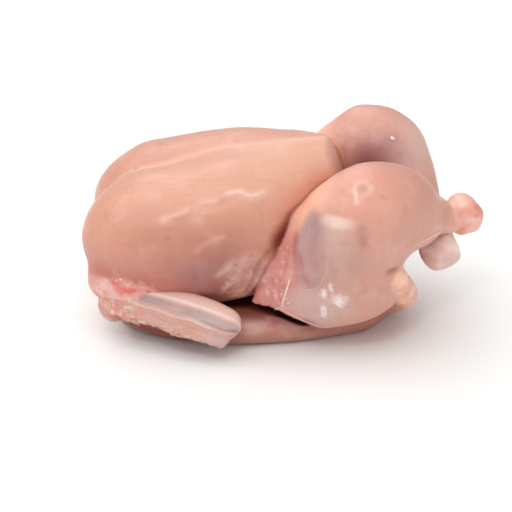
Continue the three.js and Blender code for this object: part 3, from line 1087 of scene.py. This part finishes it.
def strand(path, skin, width, height, seed):
    """A flattened line of tissue half sunk in the skin along the path, thicker and thinner by turns and drawn
    out to nothing at both ends. It has about a ring of points for each millimetre."""
    around = 8
    fewest = 6
    path = np.asarray(path, float)
    length = np.linalg.norm(np.diff(path, axis=0), axis=1).sum()
    count = max(fewest, int(length))
    t = np.linspace(0, 1, count)
    line, normals = onto(smooth_curve(path, t), skin)
    ahead = unit(np.gradient(line, axis=0))
    across = unit(np.cross(ahead, normals))
    over = np.cross(across, ahead)
    size = (1 - (2 * t - 1) ** 4) ** 0.5 * (1 + 0.4 * noise(line, 4, seed)) + 0.05
    turn = full_turn(around)[None, :, None]
    out = width * np.cos(turn) * across[:, None] + height * np.sin(turn) * over[:, None]
    return line[:, None] + out * size[:, None, None]


def shred(centre, normal, along, radii, seed):
    """A torn bit of tissue: a flattened ball with its long axis along the skin, made uneven by noise."""
    rings = 7
    around = 10
    across = unit(np.cross(normal, along))
    along = np.cross(across, normal)
    latitude = np.pi * (np.arange(rings) + 0.5) / rings
    turn = full_turn(around)
    ball = np.stack([
        np.cos(latitude)[:, None] * np.ones(around),
        np.sin(latitude)[:, None] * np.cos(turn),
        np.sin(latitude)[:, None] * np.sin(turn),
    ], -1)
    uneven = 1 + 0.35 * noise(ball.reshape(-1, 3) + seed * 7.3, 0.8, seed).reshape(rings, around, 1)
    axes = np.stack([along, across, normal]) * np.asarray(radii)[:, None]
    return centre + (ball * uneven) @ axes


body_skin = (body_points, normals_of(body_points, body_quads))
breast_skin = (breast_points, normals_of(breast_points, breast_quads))
near_wing_skin = (near_wing_points, near_wing_normals)
TENDON = rgb(222, 176, 162)
FAT_PINK = rgb(250, 212, 198)
CREAM_SPECK_AND_GLINT = rgb(252, 226, 204)
THREAD_PINK = rgb(224, 160, 146)


def add_pair(heap, path, width, height, seed, tone):
    """A strand on the near leg and its twin on the far one, each laid onto the skin there."""
    for side in (1, -1):
        heap.add(strand(np.array(path) * (1, side, 1), body_skin, width, height, seed), tone, False)


fat_lines = Heap()
front_edge = [(9, -62, 53), (7, -61, 45), (3, -59, 31)]
add_pair(fat_lines, front_edge, 0.55, 0.3, 1, FAT_PINK)
edge_of_patch = [
    (31, -69, 84), (31, -70, 72), (30, -70, 62), (28, -69, 56),
    (25, -69, 50), (20, -67, 49), (10, -63, 46),
]
add_pair(fat_lines, edge_of_patch, 0.3, 0.12, 5, TENDON)
fat_lines.piece("fat_lines", flesh_material("fat", (1, 1, 1), 0.2), "fat", 0.5)

tissue = Heap()
# Painted glint: a cream speck on the far leg where the light glances.
glint_place = np.array([67, 19.6, 113])
glint_normal = unit(np.array([0.15, -0.77, 0.62]))
glint_along = np.array([1, 0, -1])
tissue.add(shred(glint_place, glint_normal, glint_along, (1.6, 1.0, 0.4), 3), CREAM_SPECK_AND_GLINT, False)
far_leg_line = [(72, 21, 112), (76, 18, 105), (82, 14, 97), (85, 10, 91)]
tissue.add(strand(far_leg_line, body_skin, 0.45, 0.15, 6), LEG_PALE, False)
shank_tendon = [(77, -55, 70), (83, -50, 73), (88, -44, 75), (94, -36, 75), (99, -27, 73)]
add_pair(tissue, shank_tendon, 1.3, 0.4, 7, LEG_PALE)
skirt_edge = [(0, -56, 32), (6, -59, 30), (15, -61, 26), (24, -61, 22), (32, -60, 20)]
add_pair(tissue, skirt_edge, 0.6, 0.35, 9, TENDON)
wing_thread = [(-74, -66, 20), (-73.5, -69, 17), (-73, -70, 12)]
tissue.add(strand(wing_thread, near_wing_skin, 0.5, 0.5, 10), TENDON)
dice = np.random.RandomState(12)


def scatter_shreds(skin, share, count, sizes, colours, seed, lift=0.2, ahead=(1, 0, 0)):
    """Shreds at random points of the skin, likelier where the share is high, each turned along `ahead` with
    some swing. The sizes are the least and greatest length, width and thickness."""
    swing = 0.35
    skin_points, skin_normals = skin
    chosen = dice.choice(len(share), count, p=share / share.sum())
    for number, at in enumerate(chosen):
        normal = skin_normals[at]
        along = unit(np.array(ahead) + swing * dice.normal(size=3))
        long, wide, thick = (dice.uniform(low, high) for low, high in sizes)
        shape = shred(skin_points[at] + normal * lift, normal, along, (long, wide, thick), seed + number)
        tissue.add(shape, colours[dice.randint(len(colours))])


shoulder_share = within(near_wing_points, (-90, -58, 34), (12, 14, 8), 0.5) * (near_wing_normals[:, 1] < -0.2)
long_sizes = ((1.0, 3.0), (0.4, 1.0), (0.2, 0.4))
scatter_shreds(near_wing_skin, shoulder_share, 30, long_sizes, (WING_PINK, THREAD_PINK, TENDON), 100, 0)
near_wing_x = near_wing_points[:, 0]
edge_share = bell(near_wing_angle, -31, 4) * (near_wing_x < -36) * (near_wing_x > -96)
broad_sizes = ((1.4, 3.0), (0.5, 1.0), (0.25, 0.5))
scatter_shreds(near_wing_skin, edge_share, 30, broad_sizes, (WING_PINK, WING_TAN, TENDON), 200)
knob_share = within(near_wing_points, (-77, -56, 40), (5, 5, 3), 0.4)
stout_sizes = ((0.8, 1.8), (0.5, 1.1), (0.3, 0.6))
scatter_shreds(near_wing_skin, knob_share, 9, stout_sizes, (WING_PALE, CREAM_SPECK_AND_GLINT), 250, 0)
raw_share = within(breast_points, (-94, -57, 38), (17, 12, 10), 0.5)
raw_share = raw_share * (breast_normals[:, 1] < -0.2) * (breast_normals[:, 2] > -0.4)
flat_sizes = ((0.6, 1.4), (0.4, 0.9), (0.15, 0.25))
scatter_shreds(breast_skin, raw_share, 14, flat_sizes, (RAW_PINK, THREAD_PINK, WING_PALE), 300, 0)
skirt_share = within(body_points, (2, -58, 42), (10, 10, 16), 0.5)
fine_sizes = ((0.4, 1.1), (0.3, 0.6), (0.12, 0.2))
scatter_shreds(body_skin, skirt_share, 14, fine_sizes, (TISSUE_PALE, FAT_PINK), 400, 0)
# Painted glints: tiny white shreds on the wet thigh, in a drop, a film and a streak, where the light glances
# off it.
glint_sizes = ((0.4, 0.9), (0.3, 0.7), (0.1, 0.16))
glint_drop_share = within(body_points, (29, -70, 47), (1.2, 3, 1.5), 0.4)
scatter_shreds(body_skin, glint_drop_share, 6, glint_sizes, (GLINT_WHITE,), 500, 0)
glint_film_share = within(body_points, (38, -69, 43), (3.2, 3, 3), 0.5)
scatter_shreds(body_skin, glint_film_share, 16, glint_sizes, (GLINT_WHITE, PALE_HIGHLIGHT), 600, 0)
glint_streak_share = within(body_points, (29, -66, 35), (1.2, 3, 4.5), 0.5)
scatter_shreds(body_skin, glint_streak_share, 9, glint_sizes, (GLINT_WHITE, PALE_HIGHLIGHT), 700, 0, (0, 0, 1))
tissue.piece("tissue", flesh_material("tissue", (1, 1, 1), 0.15), "tissue", 0.25)

# A plain pale floor, and the soft light of a white studio: a very broad sun high over the bird, a small lamp
# that glints on the wet meat, two broader ones that fill the shadows and light the far side, and a little
# light from all around. Places and sizes are in metres.
half = 4.0
floor_corners = [(-half, -half, 0), (half, -half, 0), (half, half, 0), (-half, half, 0)]
floor_mesh = bpy.data.meshes.new("floor")
floor_mesh.from_pydata(floor_corners, [], [(0, 1, 2, 3)])
floor = bpy.data.objects.new("floor", floor_mesh)
bpy.context.scene.collection.objects.link(floor)
floor_material, floor_shader, _ = new_material("floor", subsurface=0.0, gloss=0.2)
floor_shader.inputs["Base Color"].default_value = (0.9, 0.9, 0.89, 1)
floor_shader.inputs["Roughness"].default_value = 0.8
floor_mesh.materials.append(floor_material)


bird_middle = Vector((0, 0, 0.05))


def lamp(name, kind, place, power, **settings):
    """A lamp at that place, turned towards the middle of the bird."""
    light = bpy.data.lights.new(name, kind)
    light.energy = power
    for setting, value in settings.items():
        setattr(light, setting, value)
    holder = bpy.data.objects.new(name, light)
    bpy.context.scene.collection.objects.link(holder)
    holder.location = place
    holder.rotation_euler = (bird_middle - Vector(place)).to_track_quat("-Z", "Y").to_euler()


lamp("sky", "SUN", (-0.45, -0.15, 1.1), 2.15, angle=np.radians(90))
lamp("glint", "AREA", (-0.1, -0.75, 0.95), 1.2, size=0.16)
lamp("fill", "AREA", (0.85, -0.75, 0.5), 2, size=0.6)
lamp("sheen", "AREA", (-0.3, 0.95, 0.9), 2.2, size=0.7)
world = bpy.data.worlds.new("studio")
world.use_nodes = True
surroundings = world.node_tree.nodes["Background"]
surroundings.inputs["Color"].default_value = (1, 1, 1, 1)
surroundings.inputs["Strength"].default_value = 0.44
bpy.context.scene.world = world
bpy.context.scene.view_settings.view_transform = "Standard"
